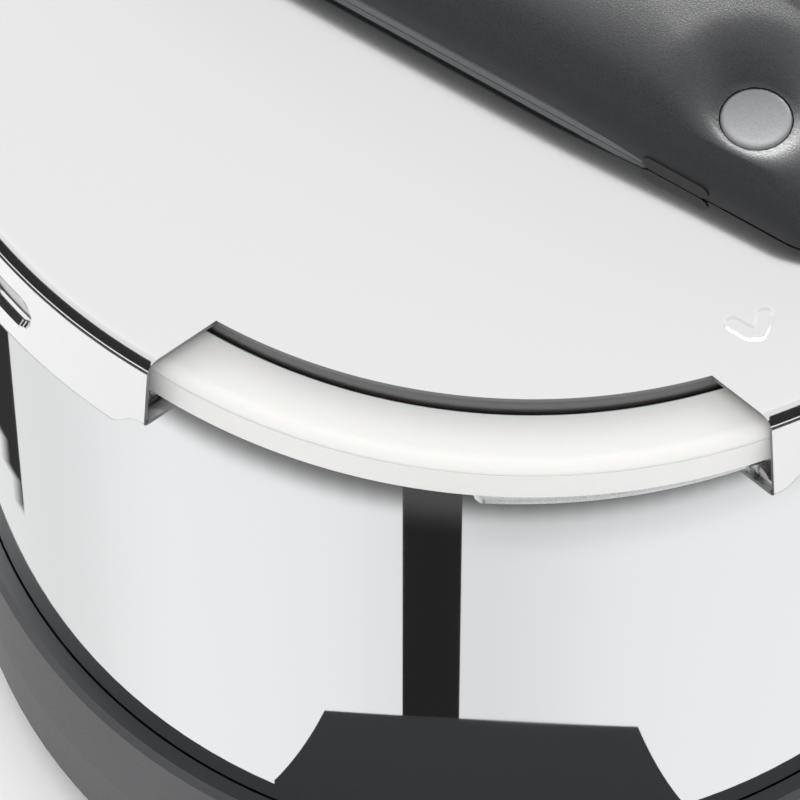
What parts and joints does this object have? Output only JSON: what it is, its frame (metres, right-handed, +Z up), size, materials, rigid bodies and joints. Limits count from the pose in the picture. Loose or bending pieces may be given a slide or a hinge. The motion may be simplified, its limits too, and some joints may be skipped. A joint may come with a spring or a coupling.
{
  "type": "electric pressure cooker",
  "caption": "Round electric pressure cooker: mirror-polished steel body, bayonet lid with a rim window showing the seal, dark lid cover with a release button.",
  "frame": {"origin": "on the floor under the centre of the body", "axes": "+Z up, the control console faces -Y, the side handles lie along X"},
  "size_m": [0.31, 0.292, 0.2881],
  "materials": {
    "rubber": "moulded",
    "galvanised_steel": "galvanised",
    "screw_steel": "zinc plated",
    "black_plastic": "spark eroded grain",
    "mirror_steel": "mirror polished stainless steel",
    "stamped_steel": "stamped stainless",
    "cast_aluminium": "cast and turned",
    "element_sheath": "annealed",
    "ceramic": "ceramic and thermoset",
    "spring_steel": "drawn wire",
    "circuit_board": "solder mask",
    "transformer_core": "varnished laminations",
    "relay_blue": "moulded",
    "capacitor_sleeve": "shrink sleeve",
    "wire_insulation": "silicone insulated wire",
    "inlet_plastic": "moulded",
    "pin_brass": "plated",
    "gloss_panel": "gloss",
    "window_glass": "tinted",
    "display_face": "display",
    "switch_metal": "plated",
    "key_plastic": "moulded",
    "clear_cup": "translucent",
    "pot_coating": "hard anodised with non-stick coating",
    "satin_steel": "fine satin stainless steel",
    "pressed_aluminium": "pressed",
    "silicone": "moulded silicone",
    "turned_steel": "turned",
    "grey_plastic": "moulded",
    "grained_plastic": "fine spark eroded grain",
    "valve_plastic": "moulded",
    "float_brass": "turned",
    "button_grey": "moulded"
  },
  "bodies": {
    "root": {"rubber_feet": "rubber", "bottom_plate": "galvanised_steel", "bottom_screws": "screw_steel", "base_housing": "black_plastic", "housing_shell": "mirror_steel", "side_handle_left": "black_plastic", "side_handle_right": "black_plastic", "handle_screws": "screw_steel", "outer_pot": "stamped_steel", "locking_ring": "stamped_steel", "heat_shield": "galvanised_steel", "heating_plate": "cast_aluminium", "heating_element": "element_sheath", "element_terminals": "ceramic", "sensor_holder": "galvanised_steel", "sensor_spring": "spring_steel", "thermal_fuse": "ceramic", "fuse_clamp": "galvanised_steel", "pressure_switch": "ceramic", "power_board": "circuit_board", "transformer": "transformer_core", "relay": "relay_blue", "board_capacitors": "capacitor_sleeve", "wire_harness": "wire_insulation", "power_inlet": "inlet_plastic", "inlet_pins": "pin_brass", "console_housing": "black_plastic", "control_panel": "gloss_panel", "display_window": "window_glass", "display_module": "display_face", "control_board": "circuit_board", "key_switches": "switch_metal", "collector_bracket": "black_plastic"},
    "sensor": {"sensor_cap": "cast_aluminium"},
    "collector": {"condensation_collector": "clear_cup"},
    "pot": {"inner_pot": "pot_coating"},
    "inner_lid": {"inner_cover": "pressed_aluminium", "inner_cover_bush": "silicone", "sealing_ring": "silicone"},
    "lid": {"lid_shell": "satin_steel", "lid_stud": "turned_steel", "cover_base": "grey_plastic", "lid_cover": "grained_plastic", "cover_screws": "screw_steel", "vent_pipe": "turned_steel", "vent_nut": "screw_steel", "steam_filter": "turned_steel", "float_guide": "turned_steel", "lever_pin": "screw_steel"},
    "valve": {"pressure_valve": "valve_plastic"},
    "float": {"float_pin": "float_brass", "float_washer": "silicone"},
    "lever": {"release_lever": "galvanised_steel"},
    "release": {"steam_button": "button_grey"},
    "key_menu": {"button_menu": "key_plastic"},
    "key_warm": {"button_warm": "key_plastic"},
    "key_minus": {"button_minus": "key_plastic"},
    "key_plus": {"button_plus": "key_plastic"},
    "key_cancel": {"button_cancel": "key_plastic"},
    "key_start": {"button_start": "key_plastic"}
  },
  "joints": [
    {"name": "pot_lift", "type": "slide", "parent": "root", "child": "pot", "axis": [0, 0, 1], "range_m": [0, 0.17]},
    {"name": "lid_lift", "type": "slide", "parent": "pot", "child": "inner_lid", "axis": [0, 0, 1], "range_m": [0, 0.12]},
    {"name": "lid_turn", "type": "hinge", "parent": "inner_lid", "child": "lid", "pos_m": [0, 0, 0.25], "axis": [0, 0, -1], "range_deg": [0, 30]},
    {"name": "steam_release", "type": "slide", "parent": "lid", "child": "release", "axis": [0, 0, -1], "range_m": [0, 0.003], "stiffness_N_per_m": 500},
    {"name": "lever_tilt", "type": "hinge", "parent": "lid", "child": "lever", "pos_m": [-0.0026, -0.00381, 0.2655], "axis": [0.6448, -0.7643, 0], "range_deg": [0, 2.47]},
    {"name": "valve_lift", "type": "slide", "parent": "lid", "child": "valve", "axis": [0, 0, 1], "range_m": [0, 0.003]},
    {"name": "float_rise", "type": "slide", "parent": "lid", "child": "float", "axis": [0, 0, 1], "range_m": [0, 0.005]},
    {"name": "sensor_press", "type": "slide", "parent": "root", "child": "sensor", "axis": [0, 0, -1], "range_m": [0, 0.003], "stiffness_N_per_m": 400, "springref_m": -0.003, "deforming": ["sensor_spring"]},
    {"name": "collector_slide", "type": "slide", "parent": "root", "child": "collector", "axis": [0, 1, 0], "range_m": [0, 0.045]},
    {"name": "press_menu", "type": "slide", "parent": "root", "child": "key_menu", "axis": [0, 1, 0], "range_m": [0, 0.0006], "stiffness_N_per_m": 1500},
    {"name": "press_warm", "type": "slide", "parent": "root", "child": "key_warm", "axis": [0, 1, 0], "range_m": [0, 0.0006], "stiffness_N_per_m": 1500},
    {"name": "press_minus", "type": "slide", "parent": "root", "child": "key_minus", "axis": [0, 1, 0], "range_m": [0, 0.0006], "stiffness_N_per_m": 1500},
    {"name": "press_plus", "type": "slide", "parent": "root", "child": "key_plus", "axis": [0, 1, 0], "range_m": [0, 0.0006], "stiffness_N_per_m": 1500},
    {"name": "press_cancel", "type": "slide", "parent": "root", "child": "key_cancel", "axis": [0, 1, 0], "range_m": [0, 0.0006], "stiffness_N_per_m": 1500},
    {"name": "press_start", "type": "slide", "parent": "root", "child": "key_start", "axis": [0, 1, 0], "range_m": [0, 0.0006], "stiffness_N_per_m": 1500}
  ],
  "couplings": [
    {"joint": "lever_tilt", "follows": "steam_release", "rad_per_m": 14.06},
    {"joint": "valve_lift", "follows": "steam_release", "ratio": 1}
  ]
}
